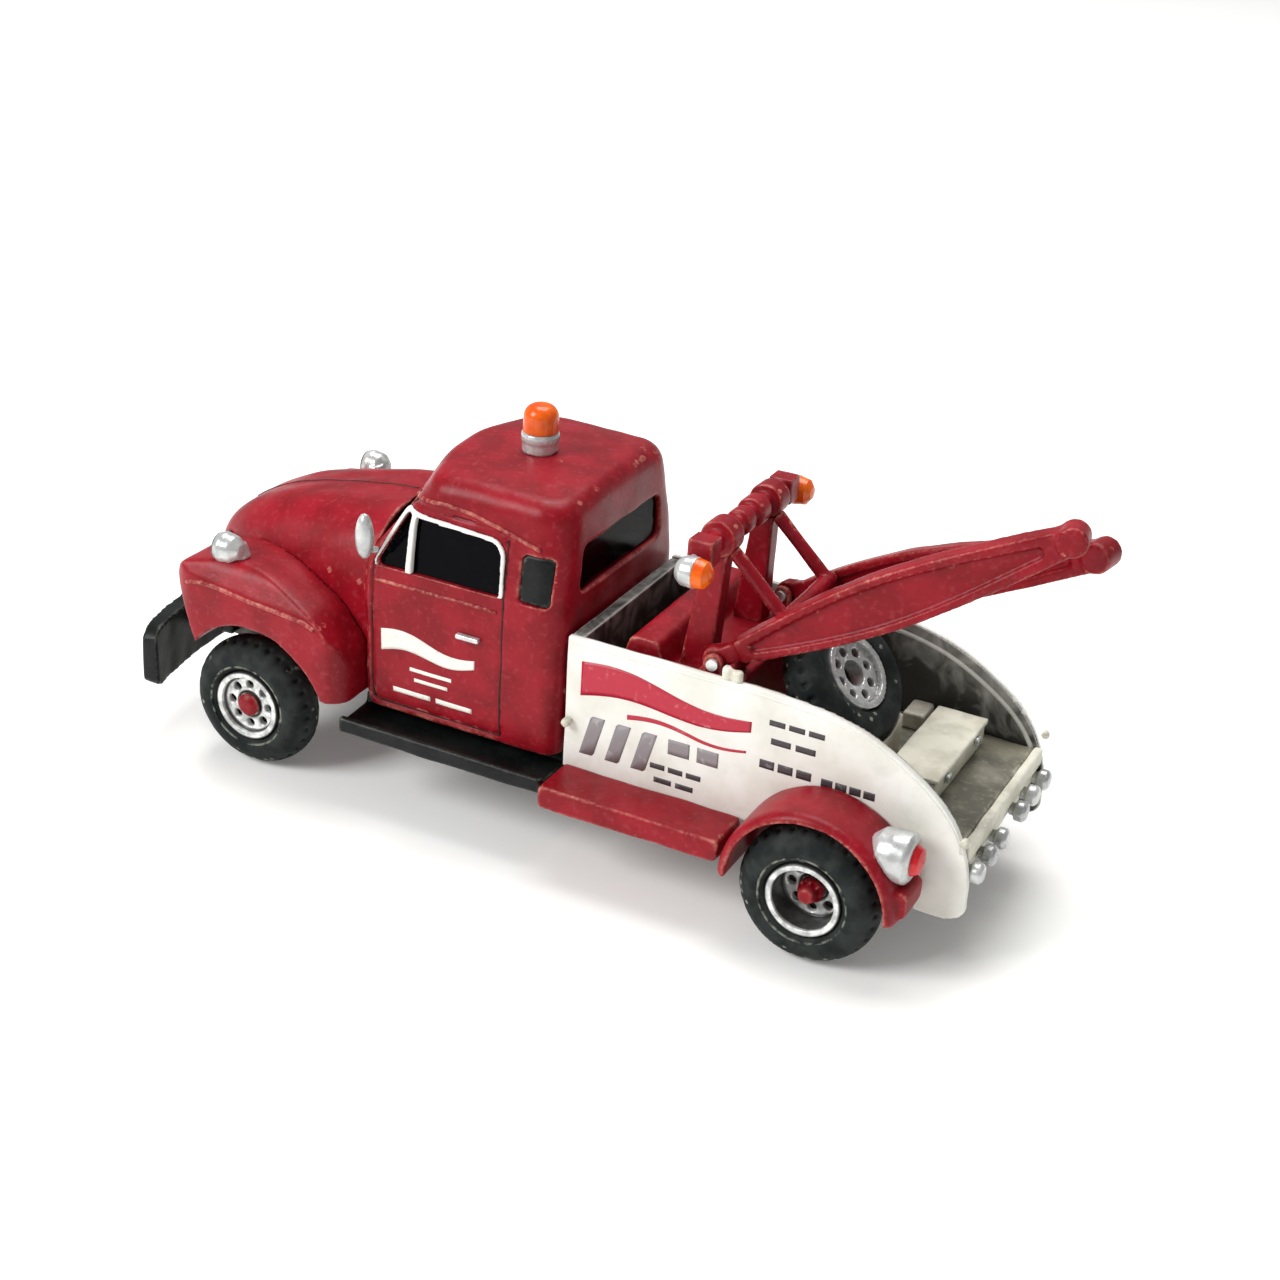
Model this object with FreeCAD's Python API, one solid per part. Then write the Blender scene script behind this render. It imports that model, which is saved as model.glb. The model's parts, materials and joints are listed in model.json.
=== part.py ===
"""Toy tow truck, HO scale (1:87): a 1950s pickup wrecker with a twin-boom crane.

The truck is drawn with its front towards -X, its left (driver's) side towards -Y and the ground at z = 0,
with the middle of the wheelbase at x = 0. Every node is moved at the end so that the origin is at the
bottom centre of the whole truck. Lengths are millimetres.
"""
import FreeCAD, Part
import math
import os

V = FreeCAD.Vector
SIDES = {"left": -1, "right": 1}
ALONG, ACROSS, UP = V(1, 0, 0), V(0, 1, 0), V(0, 0, 1)

# Wheels and axles
WHEELBASE = 40.0
FRONT_X, REAR_X = -WHEELBASE / 2, WHEELBASE / 2
TYRE_R, TYRE_W = 4.4, 3.0
BEAD_R = 2.37
RIM_R = BEAD_R - 0.02
WEB_R = 1.95
HAND_HOLES, HAND_HOLE_R, HAND_HOLE_RING = 8, 0.3, 1.4
AXLE_R, AXLE_CLEARANCE, PRESS_GAP = 0.8, 0.05, 0.02
FRONT_FACE, REAR_FACE = 9.3, 11.2
BEARING_HALF, BOSS_GAP = 4.6, 0.15
TREAD_BARS, BAR_WIDTH, BAR_DEPTH = 30, 0.34, 0.32

# Chassis
RAIL_Y, RAIL_Z = (2.2, 3.2), (5.5, 6.8)
CHASSIS_X = (-25.0, 26.0)
BUMPER_Z = (3.6, 7.8)

# Cab
CAB_FLOOR_Z, WALL, ROOF_Z = 6.8, 0.7, 23.05
SILL_Z, HEAD_Z = 16.4, 20.05
DOOR_X = (-11.2, -1.9)

# Bed
BED_X, BED_FLOOR_Z, BED_HALF, PANEL_T = (2.2, 28.4), 8.4, 7.2, 0.5
PANEL_TOP_Z, PANEL_LOW_Z = 14.8, 5.9

# Crane
PIVOT_X, PIVOT_Y, PIVOT_Z = 11.1, 5.4, 15.1
LEDGE_Z, DECK_Z = 13.7, 15.4
BOOM_LENGTH, BOOM_DEPTH, FLANGE_HALF, POCKET = 22.3, 3.4, 0.65, 0.3
BOOM_YAW = {"left": 9.7, "right": 12.0}
BOOM_LUFF = {"left": 30.2, "right": 24.4}
HEAD_X, HEAD_TOP_Z = 9.9, 21.8
PIN_R, PIN_CLEARANCE, EAR_GAP = 0.35, 0.05, 0.12

BEACON, BEACON_R, BEACON_TOP_Z = (-3.9, -0.4), 1.12, 24.35


# ---- drawing helpers ----
def box(x, y, z):
    """Box between three (low, high) pairs."""
    return Part.makeBox(x[1] - x[0], y[1] - y[0], z[1] - z[0], V(x[0], y[0], z[0]))


def rod(radius, start, end):
    """Round bar between two points."""
    run = end - start
    return Part.makeCylinder(radius, run.Length, start, run)


def side_view(y):
    return lambda a, b: V(a, y, b)


def plan_view(z):
    return lambda a, b: V(a, b, z)


def front_view(x):
    return lambda a, b: V(x, a, b)


def rounded(corners, place):
    """Closed outline through corners (a, b, radius), each one rounded by a tangent arc."""
    edges = []
    ends = []
    count = len(corners)
    for i, (a, b, radius) in enumerate(corners):
        here = V(a, b, 0)
        before = (V(*corners[i - 1][:2], 0) - here).normalize()
        after = (V(*corners[(i + 1) % count][:2], 0) - here).normalize()
        half = before.getAngle(after) / 2
        back = radius / math.tan(half)
        middle = here + (before + after).normalize() * (radius / math.sin(half) - radius)
        ends.append((here + before * back, middle, here + after * back))
    for i, (start, middle, end) in enumerate(ends):
        if start.distanceToPoint(end) > 1e-6:
            edges.append(Part.Arc(*(place(p.x, p.y) for p in (start, middle, end))).toShape())
        following = ends[(i + 1) % count][0]
        if end.distanceToPoint(following) > 1e-6:
            edges.append(Part.makeLine(place(end.x, end.y), place(following.x, following.y)))
    return Part.Wire(edges)


def slab(corners, place, thickness):
    """Plate whose face is a rounded outline, extruded by the vector thickness."""
    return Part.Face(rounded(corners, place)).extrude(thickness)


def smooth(points, place):
    """One smooth edge through the points."""
    curve = Part.BSplineCurve()
    curve.interpolate([place(*p) for p in points])
    return curve.toShape()


def curved_slab(curves, place, thickness):
    """Plate bounded by smooth edges, each a list of points that ends where the next begins."""
    edges = []
    for points in curves:
        if len(points) == 2:
            edges.append(Part.makeLine(place(*points[0]), place(*points[1])))
        else:
            edges.append(smooth(points, place))
    return Part.Face(Part.Wire(edges)).extrude(thickness)


def turned(profile, centre, axis, radial):
    """Solid of revolution: profile is (radius, distance along axis) corners around centre."""
    points = [centre + radial * r + axis * d for r, d in profile]
    face = Part.Face(Part.makePolygon(points + points[:1]))
    return face.revolve(centre, axis, 360)


def rounded_edges(shape, radius, wanted):
    """Fillet the edges that the test picks out."""
    return shape.makeFillet(radius, [e for e in shape.Edges if wanted(e)])


def mirrored(shape):
    """The same piece on the other side of the truck."""
    return shape.mirror(V(0, 0, 0), ACROSS)


def pair(left_shape):
    """A left-hand piece and its mirror image, as two separate solids of one node."""
    return Part.makeCompound([left_shape, mirrored(left_shape)])


def one_body(shapes):
    return shapes[0].fuse(shapes[1:]).removeSplitter()


def group(shapes):
    return Part.makeCompound(shapes)


# ---- wheels: drawn with the outer face in the plane y = 0 and the depth along +Y ----
def tyre():
    """Balloon tyre with a rounded crown, notched at both shoulders."""
    half = [(BEAD_R, 0.42), (3.05, 0.0), (3.95, 0.42), (TYRE_R, TYRE_W / 2)]
    outline = half + [(r, TYRE_W - d) for r, d in reversed(half[:-1])]
    crown = smooth(outline, lambda r, d: V(r, d, 0))
    bore = Part.makeLine(V(BEAD_R, TYRE_W - 0.42, 0), V(BEAD_R, 0.42, 0))
    body = Part.Face(Part.Wire([crown, bore])).revolve(V(0, 0, 0), ACROSS, 360)
    notches = []
    for i in range(TREAD_BARS):
        for shoulder in (0.62, TYRE_W - 0.62):
            notch = box((TYRE_R - BAR_DEPTH, TYRE_R + 1), (shoulder - 0.5, shoulder + 0.5),
                        (-BAR_WIDTH / 2, BAR_WIDTH / 2))
            stagger = 0.5 if shoulder > TYRE_W / 2 else 0.0
            notch.rotate(V(0, 0, 0), ACROSS, 360 * (i + stagger) / TREAD_BARS)
            notches.append(notch)
    return body.cut(notches)


def rim(web_depth, boss_depth):
    """Pressed steel rim: outer ring, web with hand holes, and a boss reaching in towards the chassis."""
    bore = AXLE_R + PRESS_GAP
    ring = [(WEB_R, 0.12), (RIM_R, 0.12), (RIM_R, TYRE_W - 0.4), (WEB_R, TYRE_W - 0.4)]
    web = [(bore, web_depth), (WEB_R + 0.1, web_depth), (WEB_R + 0.1, web_depth + 0.45),
           (bore, web_depth + 0.45)]
    boss = [(bore, web_depth + 0.3), (1.15, web_depth + 0.3), (1.15, boss_depth), (bore, boss_depth)]
    body = one_body([turned(p, V(0, 0, 0), ACROSS, ALONG) for p in (ring, web, boss)])
    holes = []
    for i in range(HAND_HOLES):
        turn = 2 * math.pi * i / HAND_HOLES
        centre = V(HAND_HOLE_RING * math.cos(turn), web_depth - 0.1, HAND_HOLE_RING * math.sin(turn))
        holes.append(Part.makeCylinder(HAND_HOLE_R, 0.7, centre, ACROSS))
    return body.cut(holes)


def front_hub():
    return turned([(0, 0.0), (0.45, 0.0), (0.8, 0.25), (0.8, 0.48), (0, 0.48)], V(0, 0, 0), ACROSS, ALONG)


def rear_hub():
    """Hub of a driven wheel, standing out of the deep dish, with a ring of studs."""
    cap = turned([(0, 0.55), (0.42, 0.55), (0.55, 0.75), (0.55, 1.25), (0.8, 1.35), (0.8, 1.88), (0, 1.88)],
                 V(0, 0, 0), ACROSS, ALONG)
    studs = []
    for i in range(8):
        turn = 2 * math.pi * i / 8
        studs.append(rod(0.1, V(0.68 * math.cos(turn), 1.1, 0.68 * math.sin(turn)),
                         V(0.68 * math.cos(turn), 1.6, 0.68 * math.sin(turn))))
    return one_body([cap] + studs)


def wheels():
    nodes = {}
    cover = tyre()
    axles = {
        "front": (FRONT_X, FRONT_FACE, rim(0.5, FRONT_FACE - BEARING_HALF - BOSS_GAP), front_hub(), 0.5),
        "rear": (REAR_X, REAR_FACE, rim(1.9, REAR_FACE - BEARING_HALF - BOSS_GAP), rear_hub(), 1.9),
    }
    for name, (x, face, rim_shape, hub, hub_depth) in axles.items():
        reach = face - hub_depth
        nodes[name + "_axle"] = rod(AXLE_R, V(x, -reach, TYRE_R), V(x, reach, TYRE_R))
        for piece, shape in (("tyres", cover), ("rims", rim_shape), ("hubs", hub)):
            placed = shape.copy()
            placed.translate(V(x, -face, TYRE_R))
            nodes[f"{name}_{piece}"] = pair(placed)
    return nodes


# ---- chassis ----
def chassis_frame():
    """Two rails, cross members and the two axle bearing blocks."""
    rails = [box(CHASSIS_X, sorted((s * RAIL_Y[0], s * RAIL_Y[1])), RAIL_Z) for s in SIDES.values()]
    members = [box((x, x + 1.4), (-RAIL_Y[0] - 0.1, RAIL_Y[0] + 0.1), (RAIL_Z[0] + 0.2, RAIL_Z[1] - 0.2))
               for x in (CHASSIS_X[0], -8.0, 6.0, CHASSIS_X[1] - 1.4)]
    blocks = [box((x - 1.5, x + 1.5), (-BEARING_HALF, BEARING_HALF), (3.2, RAIL_Z[0] + 0.4))
              for x in (FRONT_X, REAR_X)]
    bores = [rod(AXLE_R + AXLE_CLEARANCE, V(x, -9, TYRE_R), V(x, 9, TYRE_R)) for x in (FRONT_X, REAR_X)]
    return one_body(rails + members + blocks).cut(bores)


def bumper():
    """Bowed blade bumper with rounded ends."""
    low, high = BUMPER_Z
    blade = Part.Wire([
        Part.Arc(V(-28.2, -9.4, low), V(-29.5, 0, low), V(-28.2, 9.4, low)).toShape(),
        Part.makeLine(V(-28.2, 9.4, low), V(-27.1, 9.2, low)),
        Part.Arc(V(-27.1, 9.2, low), V(-28.4, 0, low), V(-27.1, -9.2, low)).toShape(),
        Part.makeLine(V(-27.1, -9.2, low), V(-28.2, -9.4, low)),
    ])
    ends = slab([(-9.6, low, 1.3), (9.6, low, 1.3), (9.6, high, 1.6), (-9.6, high, 1.6)], front_view(-31), ALONG * 6)
    return Part.Face(blade).extrude(UP * (high - low)).common(ends)


def bumper_irons():
    """Two flat bars from the chassis rails to the back of the bumper."""
    irons = [box((-29.0, CHASSIS_X[0]), sorted((s * 2.3, s * 3.1)), (5.7, 6.6)) for s in SIDES.values()]
    return group(irons).cut([bumper(), box((-31, -28.2), (-4, 4), (5, 7))])


def cab_step_left():
    """Black running board under the door, with a raised outer lip and an inner edge that meets the cab."""
    return slab([(-9.7, 4.9, 0.3), (-5.2, 4.9, 0), (-5.2, 6.4, 0), (-6.4, 6.4, 0), (-6.4, 5.7, 0), (-9.1, 5.7, 0),
                 (-9.2, 6.0, 0.1), (-9.7, 6.0, 0.2)], front_view(-12.6), ALONG * 14.6)


def rear_board_left():
    """Red running board below the bed."""
    return slab([(2.3, 4.7, 0.4), (14.3, 4.7, 0.4), (14.3, 6.2, 0.3), (2.3, 6.2, 0.3)], side_view(-10.6),
                ACROSS * (10.6 - BED_HALF))


# ---- cab ----
CAB_SECTIONS = [
    # height, front x at the sides, rear x, half width, corner radius, forward bow of the front
    (6.4, -11.9, 1.8, 7.6, 1.0, 0.4),
    (8.0, -12.0, 1.9, 7.9, 1.1, 0.5),
    (13.0, -12.0, 1.9, 8.1, 1.3, 1.2),
    (16.2, -11.8, 1.9, 7.95, 1.5, 2.2),
    (18.4, -10.4, 1.9, 7.65, 1.8, 2.3),
    (20.6, -8.8, 1.8, 7.3, 2.1, 2.3),
    (24.0, -6.4, 1.5, 6.8, 2.5, 2.0),
]
ROOF_CROWN_R, ROOF_EDGE_R, BOW_R = 55.0, 1.4, 12.0


def cab_body(inset):
    """The cab's outer form, drawn in by inset all round: lofted walls under a crowned, round-edged roof."""
    sections = []
    for z, front, rear, half, radius, bow in CAB_SECTIONS:
        a, b, w = front + inset, rear - inset, half - inset
        r = max(radius - inset, 0.3)
        corners = [(a, -w, r), (b, -w, r), (b, w, r), (a, w, r), (a - bow, 0, BOW_R)]
        sections.append(rounded(corners, plan_view(z)))
    walls = Part.makeLoft(sections, True, False)
    crown = Part.makeSphere(ROOF_CROWN_R - inset, V(-3.6, 0, ROOF_Z - ROOF_CROWN_R))
    body = walls.common(crown)
    return rounded_edges(body, ROOF_EDGE_R - inset, lambda e: e.BoundBox.ZMin > 20.9 - inset)


DOOR_WINDOW = [(-11.0, SILL_Z, 0.3), (-9.2, HEAD_Z, 0.5), (-2.35, HEAD_Z - 0.35, 0.9), (-2.15, SILL_Z, 0.3)]
QUARTER_WINDOW = [(-0.95, 16.4, 0.3), (1.1, 16.4, 0.3), (1.1, 19.4, 0.3), (-0.95, 19.4, 0.3)]
REAR_WINDOW = [(-5.3, 16.7, 0.6), (5.3, 16.7, 0.6), (5.0, 19.7, 0.6), (-5.0, 19.7, 0.6)]
WINDSHIELD_PANE = [(0.3, 16.9, 0.3), (6.0, 16.9, 0.5), (5.3, 20.0, 0.6), (0.3, 20.3, 0.3)]
DOOR_OUTLINE = [(DOOR_X[0], 6.9, 0.6), (DOOR_X[1], 6.9, 0.6), (DOOR_X[1], HEAD_Z + 0.4, 1.0),
                (-9.3, HEAD_Z + 0.6, 0.7), (DOOR_X[0], SILL_Z, 0.3)]


def grown(corners, by):
    """The same corners moved out from their middle by a distance, roughly a parallel outline."""
    a0 = sum(c[0] for c in corners) / len(corners)
    b0 = sum(c[1] for c in corners) / len(corners)
    return [(a + by * math.copysign(1, a - a0), b + by * math.copysign(1, b - b0), max(r + by, 0))
            for a, b, r in corners]


def window_cutters():
    """Blocks that pass through the cab wall at each window."""
    panes = [WINDSHIELD_PANE, [(-a, b, r) for a, b, r in reversed(WINDSHIELD_PANE)]]
    door = slab(DOOR_WINDOW, side_view(-12), ACROSS * 8)
    quarter = slab(QUARTER_WINDOW, side_view(-12), ACROSS * 8)
    return {
        "windshield": group([slab(p, front_view(-17), ALONG * 11) for p in panes]),
        "rear": slab(REAR_WINDOW, front_view(-1), ALONG * 5),
        "door_left": door,
        "door_right": mirrored(door),
        "quarter_left": quarter,
        "quarter_right": mirrored(quarter),
    }


def shut_lines(outer):
    """Grooves around the doors, cut a little way into the cab's skin."""
    skin = outer.cut(cab_body(0.22))
    ring = slab(grown(DOOR_OUTLINE, 0.13), side_view(-12), ACROSS * 24)
    ring = ring.cut(slab(grown(DOOR_OUTLINE, -0.13), side_view(-12), ACROSS * 24))
    return skin.common(ring)


def cab():
    outer = cab_body(0)
    cutters = window_cutters()
    hollow = cab_body(WALL)
    over_rails = box(CHASSIS_X, (-RAIL_Y[1], RAIL_Y[1]), RAIL_Z)
    shell = outer.cut([hollow, over_rails] + list(cutters.values())).cut(shut_lines(outer))
    pane_skin = cab_body(0.3).cut(cab_body(0.5))
    black_skin = cab_body(0.12).cut(cab_body(0.5))
    trim_skin = cab_body(-0.2).cut(outer)
    band = slab(grown(DOOR_WINDOW, 0.28), side_view(-12), ACROSS * 8).cut(cutters["door_left"])
    band = band.cut(box((-14, 0), (-13, 0), (0, SILL_Z + 0.05)))
    post = slab([(-8.75, SILL_Z, 0), (-8.35, SILL_Z, 0), (-8.35, HEAD_Z, 0), (-8.75, HEAD_Z, 0)], side_view(-12),
                ACROSS * 8)
    post = cab_body(-0.15).cut(cab_body(0.28)).common(post).common(cutters["door_left"])
    trim = one_body([trim_skin.common(band), post])
    nodes = {
        "cab_shell": shell,
        "windshield_glass": pane_skin.common(cutters["windshield"]),
        "rear_window_glass": pane_skin.common(cutters["rear"]),
    }
    nodes["door_glass"] = pair(pane_skin.common(cutters["door_left"]))
    nodes["quarter_windows"] = pair(black_skin.common(cutters["quarter_left"]))
    nodes["door_window_trims"] = pair(trim)
    return nodes


def cab_interior():
    """Floor pan and bench seat, seen through the windows."""
    floor = box((-11.0, 1.0), (-6.6, 6.6), (CAB_FLOOR_Z, CAB_FLOOR_Z + 0.5))
    seat = slab([(-6.0, CAB_FLOOR_Z + 0.5, 0), (0.6, CAB_FLOOR_Z + 0.5, 0), (0.9, 16.0, 0.5), (-0.9, 16.0, 0.5),
                 (-1.6, 11.0, 0.5), (-6.0, 10.8, 0.6)], side_view(-6.2), ACROSS * 12.4)
    return {"cab_floor": floor, "bench_seat": seat}


def beacon():
    """Round base on the roof with a collar and an amber dome."""
    x, y = BEACON
    base = rod(BEACON_R, V(x, y, ROOF_Z - 0.3), V(x, y, BEACON_TOP_Z))
    base = base.fuse(Part.makeCylinder(BEACON_R + 0.08, 0.45, V(x, y, BEACON_TOP_Z - 0.6), UP)).removeSplitter()
    dome = rod(BEACON_R - 0.02, V(x, y, BEACON_TOP_Z), V(x, y, BEACON_TOP_Z + 1.7))
    dome = rounded_edges(dome, 0.8, lambda e: e.BoundBox.ZMin > BEACON_TOP_Z + 1.6)
    return {"beacon_base": base.cut(cab_body(0)), "beacon_dome": dome}


def door_handle_left():
    handle = box((-4.9, -3.3), (-8.5, -7.5), (13.2, 13.5))
    return handle.cut(cab_body(0))


def side_lamp_left():
    """Teardrop lamp on the pillar ahead of the door, on a short stem."""
    bulb = Part.makeSphere(1.0, V(0, 0, 0))
    shape = FreeCAD.Matrix()
    shape.scale(0.62, 0.5, 1.5)
    bulb = bulb.transformGeometry(shape)
    bulb.translate(V(-11.2, -8.75, 18.5))
    stem = rod(0.22, V(-11.2, -8.5, 17.6), V(-11.0, -7.2, 17.0))
    return one_body([bulb, stem]).cut(cab_body(0))


# ---- nose ----
def hood():
    """Alligator hood: narrow, round nose growing up and out to the cowl."""
    sections = []
    for x, half, top, radius in ((-27.0, 1.6, 12.6, 1.2), (-26.2, 2.9, 13.9, 2.0), (-24.5, 4.0, 15.3, 2.8),
                                 (-22.0, 4.9, 16.5, 3.3), (-18.5, 5.7, 17.4, 3.8), (-15.0, 6.4, 18.0, 4.2),
                                 (-12.1, 6.8, 18.3, 4.4)):
        low = 9.4
        sections.append(rounded([(-half, low, 0.2), (half, low, 0.2), (half, top, radius), (-half, top, radius)],
                                front_view(x)))
    solid = Part.makeLoft(sections, True, False)
    return solid.cut(cab_body(0))


def front_fender_left():
    """Pontoon fender with a crowned top and an open wheel arch."""
    side = slab([(-25.6, 13.5, 1.2), (-21.5, 14.4, 6.0), (-18.4, 14.3, 8.0), (-14.2, 12.6, 4.0), (-11.9, 10.0, 3.0),
                 (-12.0, 6.9, 0.4), (-14.6, 6.9, 0.2), (-14.6, 7.9, 0), (-23.4, 7.9, 0.4)], side_view(-10.3),
                ACROSS * 5.6)
    front = slab([(-10.2, 6.0, 0.2), (-4.7, 6.0, 0.2), (-4.7, 14.5, 0.4), (-9.0, 14.5, 1.6), (-10.2, 12.4, 1.6)],
                 front_view(-26), ALONG * 15)
    plan = slab([(-25.7, -9.7, 2.2), (-12.5, -10.35, 1.8), (-11.8, -8.4, 1.2), (-11.8, -4.7, 0), (-25.7, -4.7, 0)],
                plan_view(5), UP * 11)
    body = side.common(front).common(plan)
    arch = rod(5.8, V(FRONT_X + 1.0, -12, 4.7), V(FRONT_X + 1.0, -5.9, 4.7))
    return body.cut([arch, hood(), cab_body(0)])


def nose():
    """Grille shell between the fenders, horizontal grille bars, and the hood."""
    shell = slab([(-25.6, -3.0, 1.5), (-25.6, 3.0, 1.5), (-24.2, 6.2, 0.4), (-23.2, 6.2, 0), (-23.2, -6.2, 0),
                  (-24.2, -6.2, 0.4)], plan_view(7.4), UP * 6.0)
    fender = front_fender_left()
    shell = shell.cut([fender, mirrored(fender), hood()])
    bars = []
    for i in range(5):
        z = 8.1 + i * 0.85
        bar = slab([(-26.1, -2.9, 1.5), (-26.1, 2.9, 1.5), (-24.9, 5.6, 0.2), (-24.5, 5.6, 0), (-24.5, -5.6, 0),
                    (-24.9, -5.6, 0.2)], plan_view(z), UP * 0.4)
        bars.append(bar.cut([shell, fender, mirrored(fender), hood()]))
    return {"hood": hood(), "grille_shell": shell, "grille_bars": group(bars), "front_fenders": pair(fender)}


def headlight_left():
    """Bullet headlamp on a short stalk, and its lens."""
    place = V(-22.6, -8.45, 14.95)
    pod = turned([(0, 0.3), (0.88, 0.3), (1.02, 0.7), (0.9, 1.5), (0.45, 2.0), (0, 2.1)], place, ALONG, UP)
    stalk = rod(0.7, V(-21.3, -8.1, 15.1), V(-20.8, -8.0, 13.6))
    lens = turned([(0, 0.0), (0.55, 0.08), (0.88, 0.28), (0, 0.28)], place, ALONG, UP)
    return one_body([pod, stalk]).cut(front_fender_left()), lens


# ---- bed ----
SWEEP = [(14.0, PANEL_TOP_Z), (17.6, 14.65), (21.2, 13.9), (24.4, 12.3), (26.9, 10.1), (28.2, 7.4), (28.4, 5.0)]


def bed_side_left():
    """Side panel with a long swept tail."""
    curves = [
        [(BED_X[0], PANEL_LOW_Z), (BED_X[0], PANEL_TOP_Z)],
        [(BED_X[0], PANEL_TOP_Z), SWEEP[0]],
        SWEEP,
        [SWEEP[-1], (28.2, 4.0), (27.4, 3.6), (25.4, 3.5)],
        [(25.4, 3.5), (24.6, PANEL_LOW_Z)],
        [(24.6, PANEL_LOW_Z), (BED_X[0], PANEL_LOW_Z)],
    ]
    return curved_slab(curves, side_view(-BED_HALF), ACROSS * PANEL_T)


def bed():
    inner = BED_HALF - PANEL_T
    floor = box((BED_X[0] + 0.8, BED_X[1] - 0.8), (-inner, inner), (BED_FLOOR_Z - 0.5, BED_FLOOR_Z))
    front = slab([(-inner, RAIL_Z[1], 0.1), (inner, RAIL_Z[1], 0.1), (inner, PANEL_TOP_Z - 0.1, 0.1),
                  (-inner, PANEL_TOP_Z - 0.1, 0.1)], front_view(BED_X[0]), ALONG * 0.8)
    sill = box((BED_X[1] - 0.8, BED_X[1] - 0.2), (-inner, inner), (7.4, BED_FLOOR_Z + 0.1))
    rail = box((BED_X[1] - 1.0, BED_X[1] - 0.5), (-inner, inner), (6.3, 7.4))
    bearers = [box((x, x + 1.6), (-5.0, 5.0), (RAIL_Z[1], BED_FLOOR_Z - 0.5)) for x in (4.0, 13.0, 24.2)]
    pegs = []
    for side in SIDES.values():
        for y in (1.8, 4.0, 6.2):
            pegs.append(turned([(0, 0), (0.4, 0), (0.4, 0.3), (0.66, 0.4), (0.66, 0.9), (0.45, 1.1), (0, 1.1)],
                               V(BED_X[1] - 0.5, side * y, 6.6), ALONG, UP))
    cleats = group([
        rod(0.3, V(12.5, -BED_HALF + 0.25, PANEL_TOP_Z), V(12.5, -BED_HALF + 0.25, PANEL_TOP_Z + 0.75)),
        rod(0.3, V(13.2, -BED_HALF + 0.25, PANEL_TOP_Z), V(13.2, -BED_HALF + 0.25, PANEL_TOP_Z + 0.65)),
        rod(0.28, V(2.5, -BED_HALF, 9.2), V(2.5, -BED_HALF - 0.6, 9.2)),
        rod(0.28, V(28.0, -BED_HALF, 9.0), V(28.0, -BED_HALF - 0.5, 9.0)).cut(bed_side_left()),
    ])
    return {"bed_floor": floor, "bed_front_panel": front, "rear_sill": sill.fuse(rail).removeSplitter(),
            "bed_bearers": group(bearers),
            "rear_pegs": group(pegs), "bed_sides": pair(bed_side_left()), "bed_cleats": pair(cleats)}


def rear_fender_left():
    """Half-oval fender standing out from the bed side, with a foot for the tail lamp."""
    outer = oval(5.5, 5.55, -11.3, 4.1)
    outer = rounded_edges(outer, 0.7, lambda e: e.CenterOfMass.y < -11.2 and e.Length > 15)
    well = wheel_well()
    axle_hole = rod(1.6, V(REAR_X, -12, TYRE_R), V(REAR_X, -6, TYRE_R))
    foot = slab([(24.2, 4.4, 0.2), (26.0, 4.7, 0.6), (26.0, 6.4, 0.3), (24.2, 6.4, 0.2)], side_view(-10.4),
                ACROSS * 2.6)
    keep = box((10, 30), (-12, -BED_HALF), (TYRE_R - 0.1, 15))
    return one_body([outer.cut(well), foot]).cut([well, axle_hole]).common(keep)


def wheel_well():
    """Clear space inside the left rear fender."""
    return oval(4.9, 4.95, -12.0, 4.6)


def oval(a, b, y, depth):
    """Elliptic cylinder around the rear axle with half-axes a (along) and b (up)."""
    disc = Part.makeCylinder(1.0, 1.0, V(0, 0, 0), ACROSS)
    shape = FreeCAD.Matrix()
    shape.scale(a, depth, b)
    disc = disc.transformGeometry(shape)
    disc.translate(V(REAR_X, y, TYRE_R))
    return disc


def tail_lamp_left():
    place = V(23.0, -9.2, 8.1)
    housing = turned([(0, 0), (0.8, 0.1), (1.4, 0.8), (1.55, 1.6), (1.55, 2.5), (1.2, 2.75), (0, 2.75)], place,
                     ALONG, UP)
    lens = turned([(0, 2.75), (0.95, 2.75), (0.75, 3.15), (0, 3.3)], place, ALONG, UP)
    return housing.cut([rear_fender_left(), wheel_well()]), lens


# ---- deck load ----
SPARE_CENTRE, SPARE_YAW, SPARE_LEAN = V(17.3, -0.6, 13.4), 80.0, 40.0


def laid_back(shape):
    """Carry a piece drawn as a wheel with its face at y = 0 to the leaning spare's place."""
    placed = shape.copy()
    placed.translate(V(0, -TYRE_W / 2, 0))
    placed.rotate(V(0, 0, 0), ALONG, -SPARE_LEAN)
    placed.rotate(V(0, 0, 0), UP, SPARE_YAW)
    placed.translate(SPARE_CENTRE)
    return placed


def spare():
    """Spare wheel leaning back towards the mast, its face to the rear, in a shallow cradle."""
    block = box((14.2, 20.6), (-3.0, 1.8), (BED_FLOOR_Z, 11.0))
    block = block.cut(laid_back(Part.makeCylinder(TYRE_R + 0.02, 14.0, V(0, 0, 0), ACROSS)))
    block = block.cut(laid_back(Part.makeCylinder(TYRE_R + 0.02, 14.0, V(0, -13.0, 0), ACROSS)))
    return {"spare_tyre": laid_back(tyre()), "spare_rim": laid_back(rim(0.5, 1.6)), "spare_cradle": block}


def toolbox():
    body = box((21.7, 24.7), (-3.4, 5.4), (BED_FLOOR_Z, 9.75))
    lid = slab([(21.55, -3.55, 0.15), (24.85, -3.55, 0.15), (24.85, 5.55, 0.15), (21.55, 5.55, 0.15)],
               plan_view(9.75), UP * 0.35)
    latches = [box((24.7, 25.0), (y - 0.3, y + 0.3), (9.1, 9.7)) for y in (-1.6, 3.6)]
    step = box((19.6, 21.0), (4.6, BED_HALF - PANEL_T), (BED_FLOOR_Z, 9.5))
    return {"toolbox": body, "toolbox_lid": lid, "toolbox_latches": group(latches), "deck_step": step}


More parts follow.
